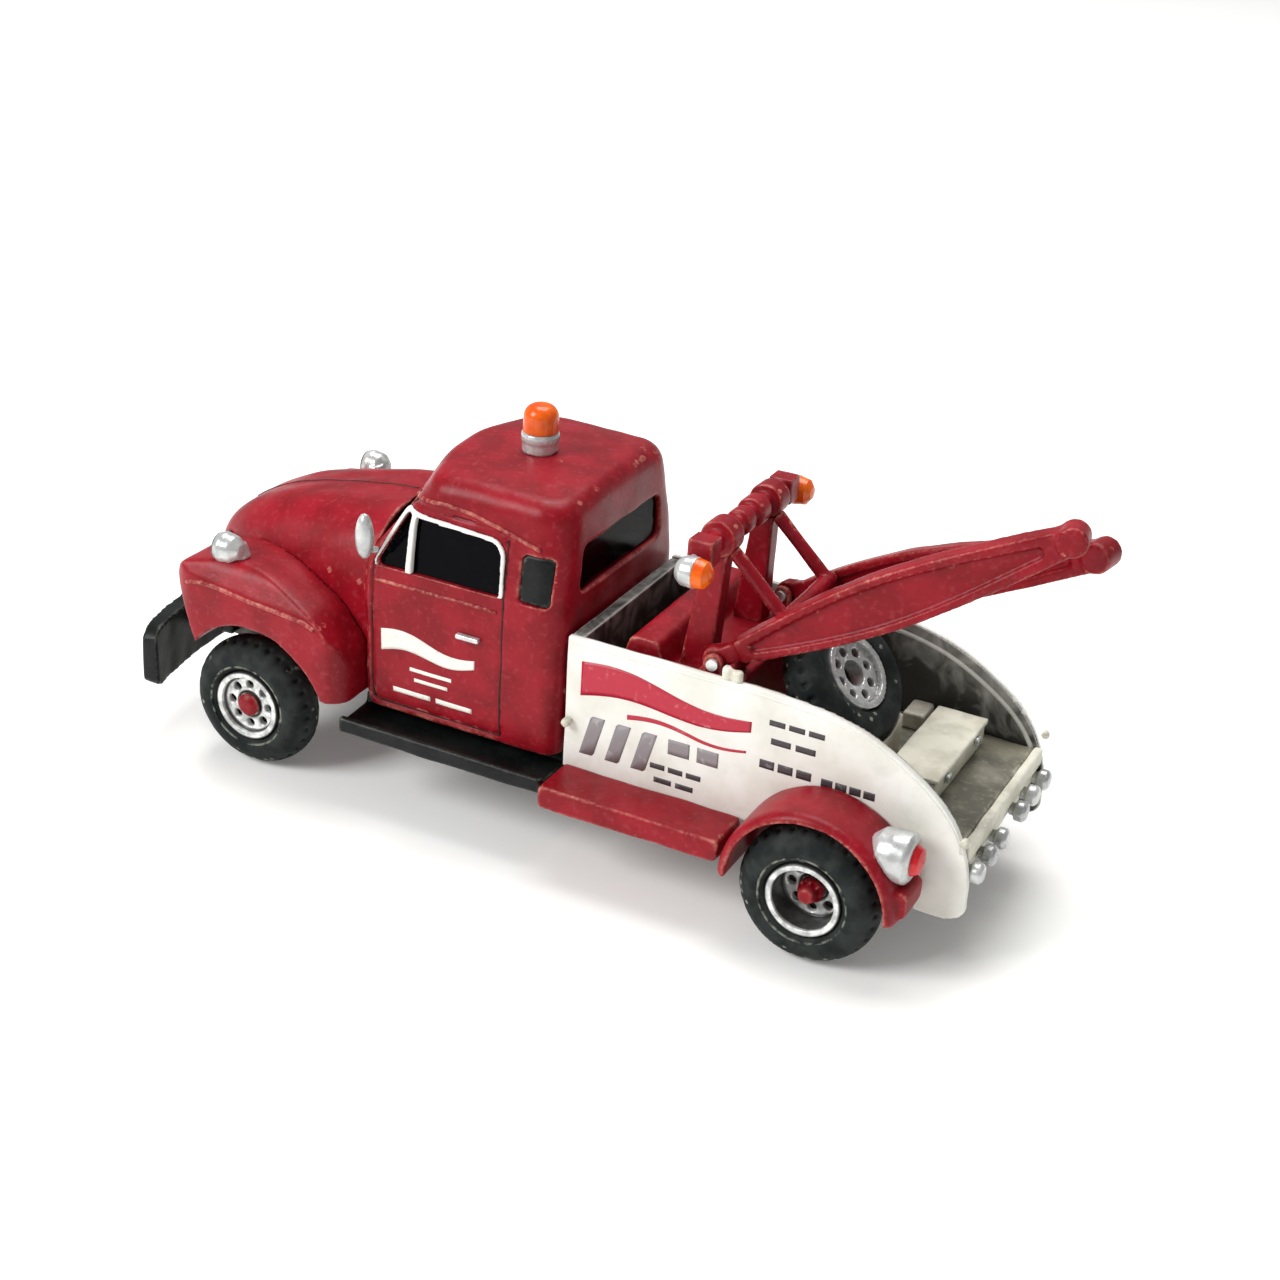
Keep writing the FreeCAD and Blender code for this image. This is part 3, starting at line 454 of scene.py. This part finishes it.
def ivory_enamel(name, inner_wall):
    """Ivory bed paint with painted shade inside the bed, darker low down and towards the crane, and streaky
    grey-brown stains.
    """
    paint = Paint(name)
    cloud = paint.between(paint.noise(0.3, 4), 0.35, 0.65)
    colour = paint.mix(cloud, (0.74, 0.73, 0.66), (0.84, 0.84, 0.79))
    stain = paint.between(paint.noise(0.9, 6, 0.6), 0.5, 0.72)
    colour = paint.mix(paint.math("MULTIPLY", stain, 0.15), colour, (0.50, 0.47, 0.38))
    y = paint.math("ABSOLUTE", paint.part_of_place("Y"))
    inside = paint.between(y, inner_wall + 0.12, inner_wall)
    height = paint.part_of_place("Z")
    streak = paint.between(paint.noise(0.5, 6, 1.2), 0.3, 0.7)
    # Painted shade inside the bed: darker low down and towards the crane, with streaky stains in it.
    low_shade = paint.math("MULTIPLY", paint.between(height, BED_TOP + 0.2, FLOOR_TOP), 0.5)
    front_shade = paint.math("MULTIPLY", paint.between(paint.part_of_place("X"), *BED_SHADE_REACH), 0.45)
    inside_shade_and_stain = paint.math("ADD", paint.math("ADD", low_shade, front_shade), paint.math("MULTIPLY", streak, 0.3))
    inside_shade_and_stain = paint.math("ADD", inside_shade_and_stain, 0.25)
    inside_shade_and_stain = paint.math("MULTIPLY", paint.math("MINIMUM", inside_shade_and_stain, 0.98), inside)
    colour = paint.mix(inside_shade_and_stain, colour, (0.018, 0.018, 0.014))
    colour = paint.mix(paint.math("MULTIPLY", paint.ridges(0.52, 0.57), 0.7), colour, (0.84, 0.83, 0.77))
    # Painted shade in the hollows.
    colour = paint.mix(paint.math("MULTIPLY", paint.hollows(0.488, 0.45), 0.75), colour, (0.07, 0.06, 0.045))
    paint.bump(paint.noise(4.0, 6), 0.3)
    return paint.finish(colour, paint.sheen(1.0, 0.2, 0.34))


def deck_enamel():
    """Worn bed floor: olive-grey with dark stains."""
    return brushed_paint("deck_enamel", base=(0.22, 0.21, 0.155), deep=(0.10, 0.095, 0.07),
                         pale=(0.36, 0.35, 0.28), worn=(0.60, 0.59, 0.50), wash_and_shade=(0.012, 0.011, 0.008),
                         wash_and_shade_amount=0.95, gloss=(0.4, 0.6))


def locker_enamel():
    """Lockers and small deck pieces: ivory, with a dark wash and painted shade in every corner."""
    return brushed_paint("locker_enamel", base=(0.72, 0.70, 0.58), deep=(0.52, 0.50, 0.40),
                         pale=(0.82, 0.81, 0.72), worn=(0.90, 0.89, 0.82), wash_and_shade=(0.05, 0.045, 0.03),
                         wear=0.8, wash_and_shade_amount=0.9, gloss=(0.4, 0.6))


def tyre_rubber():
    """Painted dark grey-green tyre with silver dry-brushed over the tread bars."""
    paint = Paint("tyre_rubber")
    cloud = paint.between(paint.noise(0.8, 5), 0.35, 0.65)
    paint.shader.inputs["Specular IOR Level"].default_value = 0.15
    colour = paint.mix(cloud, (0.009, 0.012, 0.012), (0.026, 0.031, 0.029))
    patchy = paint.between(paint.noise(1.6, 5), 0.40, 0.58)
    brushed = paint.math("MULTIPLY", paint.ridges(0.52, 0.58), patchy)
    colour = paint.mix(paint.math("MULTIPLY", brushed, 0.6), colour, (0.36, 0.38, 0.31))
    # Painted shade in the hollows.
    colour = paint.mix(paint.hollows(0.48, 0.42), colour, (0.006, 0.007, 0.007))
    paint.bump(paint.noise(6.0, 6), 0.4)
    return paint.finish(colour, paint.sheen(1.5, 0.25, 0.5))


def lens(name, deep, bright):
    """Clear gloss enamel over a lamp lens, brighter where the coat is thin."""
    paint = Paint(name)
    colour = paint.mix(paint.between(paint.noise(0.9, 3), 0.35, 0.65), deep, bright)
    paint.bump(paint.noise(1.6, 2), 0.12)
    paint.shader.inputs["Specular IOR Level"].default_value = 0.4
    return paint.finish(colour, paint.sheen(2.0, 0.12, 0.16))


def dark_glass(name, opacity):
    """Smoked clear sheet with faint dust."""
    paint = Paint(name)
    dust = paint.between(paint.noise(1.4, 5), 0.5, 0.8)
    colour = paint.mix(paint.math("MULTIPLY", dust, 0.1), (0.001, 0.001, 0.002), (0.02, 0.02, 0.02))
    paint.shader.inputs["Alpha"].default_value = opacity
    paint.shader.inputs["Specular IOR Level"].default_value = 0.05
    return paint.finish(colour, paint.math("ADD", paint.math("MULTIPLY", dust, 0.15), 0.12))


def steel():
    """Bare axle wire."""
    paint = Paint("axle_steel")
    colour = paint.mix(paint.between(paint.noise(1.5), 0.3, 0.7), (0.30, 0.29, 0.28), (0.52, 0.51, 0.50))
    paint.bump(paint.noise(9.0), 0.2, 0.02)
    return paint.finish(colour, paint.sheen(3.0, 0.2, 0.25), metallic=1.0)


def chassis_black():
    return brushed_paint("chassis_black", base=(0.03, 0.029, 0.027), deep=(0.014, 0.013, 0.012),
                         pale=(0.08, 0.075, 0.07), worn=(0.16, 0.15, 0.13), wash_and_shade=(0.005, 0.005, 0.005),
                         gloss=(0.5, 0.7), shine=0.15)


def decal_ink(name, colour, thin):
    """Slightly worn printed film."""
    paint = Paint(name)
    rubbed = paint.between(paint.noise(2.4, 6), 0.58, 0.76)
    ink = paint.mix(paint.math("MULTIPLY", rubbed, 0.5), colour, thin)
    paint.bump(paint.noise(4.0, 4), 0.2, 0.02)
    return paint.finish(ink, paint.sheen(2.0, 0.15, 0.35))


RED, WASH, BLACK, WHITE = red_enamel(), red_wash(), black_enamel(), white_enamel()
SILVER, OLD_SILVER = silver_enamel("silver_enamel", 0.95), silver_enamel("old_silver_enamel", 1.0)
DECK, LOCKER, TYRE, STEEL, CHASSIS = deck_enamel(), locker_enamel(), tyre_rubber(), steel(), chassis_black()
FRONT_RIM = rim_enamel("front_rim_enamel", FRONT_AXLE, high("front_tyres").y)
REAR_RIM = rim_enamel("rear_rim_enamel", REAR_AXLE, high("rear_tyres").y)
BED = ivory_enamel("ivory_enamel", BED_OUTER - 0.42)
AMBER = lens("amber_lens", (0.68, 0.07, 0.001), (0.85, 0.14, 0.002))
RUBY = lens("red_lens", (0.45, 0.006, 0.012), (0.70, 0.02, 0.03))
# The door glass is near black and nearly opaque: a dark sheet that is painted shade for the cab's inside.
GLASS, SHADED_DOOR_GLASS = dark_glass("clear_glass", 0.6), dark_glass("door_glass", 0.97)


# ---- the pieces ----
def castings():
    """Every painted casting, softened from its CAD node."""
    jobs = [
        (RED, "red_paint", 0.13, 3, ("cab_shell",)),
        (RED, "red_paint", 0.14, 5, ("hood", "rear_boards", "mast_base")),
        (RED, "red_paint", 0.13, 12, ("front_fenders", "rear_fenders")),
        (RED, "red_paint", 0.10, 14, ("boom_left", "boom_right")),
        (RED, "red_paint", 0.10, 8, ("mast_crosshead",)),
        (RED, "red_paint", 0.10, 3, ("mast_towers", "mast_braces", "boom_swivel_left", "boom_swivel_right",
                                     "front_hubs", "rear_hubs")),
        (BED, "ivory_paint", 0.12, 2, ("bed_sides", "bed_front_panel")),
        (DECK, "ivory_paint", 0.15, 3, ("bed_floor",)),
        (LOCKER, "ivory_paint", 0.14, 3, ("rear_sill", "spare_cradle", "deck_step", "toolbox", "toolbox_lid",
                                          "bed_cleats")),
        (BLACK, "black_paint", 0.13, 3, ("front_bumper", "cab_steps", "grille_shell", "quarter_windows")),
        (SILVER, "silver_paint", 0.09, 3, ("grille_bars", "headlights", "side_lamps", "tail_lamps",
                                           "mast_lamps", "door_handles", "toolbox_latches", "beacon_base")),
        (OLD_SILVER, "silver_paint", 0.08, 2, ("rear_pegs", "spare_rim")),
        (FRONT_RIM, "silver_paint", 0.07, 2, ("front_rims",)),
        (REAR_RIM, "silver_paint", 0.07, 2, ("rear_rims",)),
        (WHITE, "white_paint", 0.08, 2, ("door_window_trims",)),
        (TYRE, "tyre_rubber", 0.10, 3, ("front_tyres", "rear_tyres", "spare_tyre")),
    ]
    made = {}
    for material, slot, voxel, soften, nodes in jobs:
        for node in nodes:
            made[node] = cast(node, material, voxel, soften, min(0.022, voxel * 0.17))
    return made


def carried_over():
    """CAD nodes whose shape is right as it is: lenses, glass, axles, pins and what is out of sight."""
    finishes = {
        AMBER: ("beacon_dome", "mast_lamp_lenses"),
        RUBY: ("tail_lamp_lenses",),
        SILVER: ("headlight_lenses", "boom_pin_left", "boom_pin_right"),
        GLASS: ("windshield_glass", "rear_window_glass"),
        SHADED_DOOR_GLASS: ("door_glass",),
        STEEL: ("front_axle", "rear_axle"),
        CHASSIS: ("chassis_frame", "bumper_irons", "bed_bearers", "cab_floor", "bench_seat"),
    }
    for material, nodes in finishes.items():
        for node in nodes:
            mesh = frame["nodes"][node].data
            mesh.materials.clear()
            mesh.materials.append(material)


def hand(side):
    return "right" if side > 0 else "left"


def gutters(cab):
    """Raised rain gutter over each door, worn pale along its edge."""
    tree = surface_of(cab)
    for side in SIDES:
        path = on_wall(tree, side, moved(ROOF_GUTTER, MIDDLE))
        tube(f"rain_gutter_{hand(side)}", path, 0.13, RED)


def shut_lines(cab):
    """Dark wash that has run into the gap around each door."""
    tree = surface_of(cab)
    for side in SIDES:
        path = on_wall(tree, side, moved(DOOR_GAP, MIDDLE), -0.04)
        tube(f"door_gap_{hand(side)}", path, 0.085, WASH)


def belt_beads(cab):
    """Raised moulding below each door window."""
    tree = surface_of(cab)
    for side in SIDES:
        path = on_wall(tree, side, moved(DOOR_BELT, MIDDLE), -0.03)
        tube(f"belt_bead_{hand(side)}", path, 0.12, RED)


def hood_seam(hood):
    """Dark line down the middle of the hood."""
    tree = surface_of(hood)
    start = low("hood").x + 1.6
    length = high("hood").x - 0.7 - start
    steps = 30
    points = []
    for i in range(steps + 1):
        x = start + length * i / steps
        points.append((x, 0.0, top_at(tree, x, 0.0) - 0.03))
    tube("hood_seam", points, 0.08, WASH)


def fender_beads(fenders):
    """Raised crease that runs back over each front fender and down behind its wheel."""
    tree = surface_of(fenders)
    for side in SIDES:
        path = on_wall(tree, side, moved(FENDER_CREASE, FRONT_AXLE.x), -0.05)
        tube(f"fender_bead_{hand(side)}", path, 0.16, RED)


def bed_lips(bed_sides):
    """Rolled bead inside and outside the top edge of each bed side, following the tail's sweep."""
    tree = surface_of(bed_sides)
    beads = (("inner", BED_OUTER - 0.5, 0.8, 0.16), ("outer", BED_OUTER - 0.02, 0.3, 0.09))
    steps = 59
    for side in SIDES:
        for name, y, drop, radius in beads:
            points = []
            for i in range(steps + 1):
                x = BED_FRONT + 0.3 + (BED_BACK - BED_FRONT - 0.9) * i / steps
                top = top_at(tree, x, side * (BED_OUTER - 0.25))
                points.append((x - 0.2 * drop * i / steps, side * y, top - drop))
            tube(f"bed_lip_{name}_{hand(side)}", points, radius, BED)


def disc(name, centre, axis, radius, thickness, material, body):
    """Plain round plate."""
    axis = Vector(axis).normalized()
    side = axis.orthogonal().normalized()
    other = axis.cross(side)
    around = 48
    points = []
    for shift in (0, thickness):
        for i in range(around):
            turn = 2 * math.pi * i / around
            out = side * math.cos(turn) + other * math.sin(turn)
            points.append(Vector(centre) + axis * shift + out * radius)
    faces = [tuple(range(around)), tuple(range(around, 2 * around))]
    faces += [(i, (i + 1) % around, around + (i + 1) % around, around + i) for i in range(around)]
    return link(name, mesh_from(name, points, faces), material, body)


def brake_drums():
    """Dark drum behind each wheel's web, seen through the hand holes; its black is also painted shade inside
    the wheel.
    """
    for body, axle, depth in (("front_wheels", FRONT_AXLE, 1.0), ("rear_wheels", REAR_AXLE, 2.4)):
        face = high(body.replace("wheels", "tyres")).y
        for side in SIDES:
            place = (axle.x, side * (face - depth), axle.z)
            disc(f"{body}_{hand(side)}_drum", place, (0, -side, 0), 1.9, 0.25, CHASSIS, body)


def tyre_rings():
    """Raised sidewall rings on the road wheels."""
    for body, axle in (("front_wheels", FRONT_AXLE), ("rear_wheels", REAR_AXLE)):
        face = high(body.replace("wheels", "tyres")).y - 0.1
        for side in SIDES:
            place = (axle.x, side * face, axle.z)
            ring(f"{body}_{hand(side)}_ring", place, (0, 1, 0), 2.75, 0.08, TYRE, body)


def wave(x0, x1, middle, rise, thick_start, thick_end):
    """Tapering pennant: x and its low and high edges, as a function of t."""
    def strip(t):
        centre = middle + rise * math.sin(2 * math.pi * t)
        half = thick_start + (thick_end - thick_start) * t
        return x0 + (x1 - x0) * t, centre - half, centre + half
    return strip


def bar(x0, x1, z0, z1):
    """Plain straight bar."""
    return lambda t: (x0 + (x1 - x0) * t, z0, z1)


def slanted(x0, width, z0, z1, lean):
    """Leaning block, drawn as a strip whose ends slope."""
    def strip(t):
        reach = lean + width
        x = x0 + reach * t
        top = min(z1, z0 + (z1 - z0) * (x - x0) / lean)
        foot = max(z0, z0 + (z1 - z0) * (x - x0 - width) / lean)
        return x, min(foot, top - 0.01), top
    return strip


def bed_prints():
    """The bed side's shapes: a pennant with its tail line, leaning blocks, and rows of short bars."""
    red = decal_ink("red_print", (0.46, 0.010, 0.035), (0.60, 0.25, 0.24))
    grey = decal_ink("grey_print", (0.25, 0.22, 0.23), (0.55, 0.53, 0.50))
    dark = decal_ink("dark_print", (0.05, 0.040, 0.045), (0.30, 0.27, 0.26))
    shapes = [
        (red, "red_paint", wave(MIDDLE + 3.2, MIDDLE + 14.4, 12.25, 0.35, 1.15, 0.35)),
        (red, "red_paint", wave(MIDDLE + 6.4, MIDDLE + 14.2, 10.55, 0.25, 0.16, 0.08)),
    ]
    for i in range(3):
        shapes.append((grey, "silver_paint", slanted(MIDDLE + 3.3 + 1.75 * i, 0.95, 7.2, 9.9, 0.7)))
    for i in range(2):
        x = MIDDLE + 9.2 + 1.9 * i
        shapes.append((grey, "silver_paint", bar(x, x + 1.4, 8.9, 9.9)))
    for x0, x1, z0, z1, count in PRINT_ROWS:
        step = (x1 - x0) / count
        for k in range(count):
            x = MIDDLE + x0 + k * step
            shapes.append((dark, "black_paint", bar(x, x + step * 0.8, z0, z1)))
    return shapes


def door_prints():
    """The door's shapes: a small pennant over four short lines."""
    white = decal_ink("white_print", (0.80, 0.79, 0.72), (0.62, 0.35, 0.32))
    shapes = [(white, "white_paint", wave(MIDDLE - 10.4, MIDDLE - 3.7, 11.5, 0.3, 0.75, 0.3))]
    for x0, x1, z0, z1 in DOOR_LINES:
        shapes.append((white, "white_paint", bar(MIDDLE + x0, MIDDLE + x1, z0, z1)))
    return shapes


def decals(bed_sides, cab):
    """Plain printed shapes on both sides. The first two of each group are cut finer, for their curves."""
    for where, piece, shapes in (("bed", bed_sides, bed_prints()), ("door", cab, door_prints())):
        tree = surface_of(piece)
        for side in SIDES:
            for i, (material, slot, strip) in enumerate(shapes):
                columns, rows = (48, 6) if i < 2 else (10, 3)
                decal(f"{where}_print_{hand(side)}_{i:02d}", tree, side, strip, material, columns, rows)


# ---- stage ----
CAMERA_TURN = (25.383, 26.560, 3.627)  # degrees of yaw, pitch and roll, fitted to the photo's view
CAMERA_LENS = 61.67
CAMERA_FROM_AXLE = (76.088, -110.817, 73.178)


def studio():
    """Pale floor, two broad lights, one above and one from the front left, and an even white surround."""
    scene = bpy.context.scene
    scene.view_settings.view_transform = "Standard"
    bpy.ops.mesh.primitive_plane_add(size=3.0, location=(0, 0, 0))
    floor = bpy.context.object
    floor.name = "floor"
    sheet = bpy.data.materials.new("white_card")
    sheet.use_nodes = True
    card = sheet.node_tree.nodes["Principled BSDF"]
    card.inputs["Base Color"].default_value = (0.93, 0.93, 0.91, 1)
    card.inputs["Roughness"].default_value = 0.9
    card.inputs["Emission Color"].default_value = (1, 1, 0.97, 1)
    card.inputs["Emission Strength"].default_value = 0.1
    floor.data.materials.append(sheet)
    world = bpy.data.worlds.new("surround")
    world.use_nodes = True
    world.node_tree.nodes["Background"].inputs["Color"].default_value = (1, 1, 1, 1)
    world.node_tree.nodes["Background"].inputs["Strength"].default_value = 0.36
    scene.world = world
    lights = (("top", (-0.04, 0.12, 0.38), 0.26, 1.4), ("front_left", (-0.26, -0.32, 0.30), 0.22, 2.0))
    for name, place, size, power in lights:
        light = bpy.data.lights.new(name, "AREA")
        light.size = size
        light.energy = power
        lamp = bpy.data.objects.new(name, light)
        scene.collection.objects.link(lamp)
        lamp.location = place
        lamp.rotation_mode = "QUATERNION"
        lamp.rotation_quaternion = (Vector((0, 0, 0.01)) - Vector(place)).to_track_quat("-Z", "Y")


def camera():
    """Close view from the rear left, looking down."""
    yaw, pitch, roll = (math.radians(angle) for angle in CAMERA_TURN)
    aim = Vector((-math.sin(yaw) * math.cos(pitch), math.cos(yaw) * math.cos(pitch), -math.sin(pitch)))
    level = Vector((math.cos(yaw), math.sin(yaw), 0))
    up = level.cross(aim)
    right = level * math.cos(roll) + up * math.sin(roll)
    up = up * math.cos(roll) - level * math.sin(roll)
    data = bpy.data.cameras.new("camera")
    data.sensor_width = 36.0
    data.lens = CAMERA_LENS
    data.clip_start = 0.005
    data.clip_end = 10.0
    view = bpy.data.objects.new("camera", data)
    bpy.context.scene.collection.objects.link(view)
    place = (Vector((FRONT_AXLE.x, 0, 0)) + Vector(CAMERA_FROM_AXLE)) * MM
    turn = Matrix((right, up, -aim)).transposed().to_4x4()
    view.matrix_world = Matrix.Translation(place) @ turn
    bpy.context.scene.camera = view


camera()
studio()
pieces = castings()
carried_over()
gutters(pieces["cab_shell"])
shut_lines(pieces["cab_shell"])
belt_beads(pieces["cab_shell"])
hood_seam(pieces["hood"])
fender_beads(pieces["front_fenders"])
bed_lips(pieces["bed_sides"])
tyre_rings()
brake_drums()
decals(pieces["bed_sides"], pieces["cab_shell"])
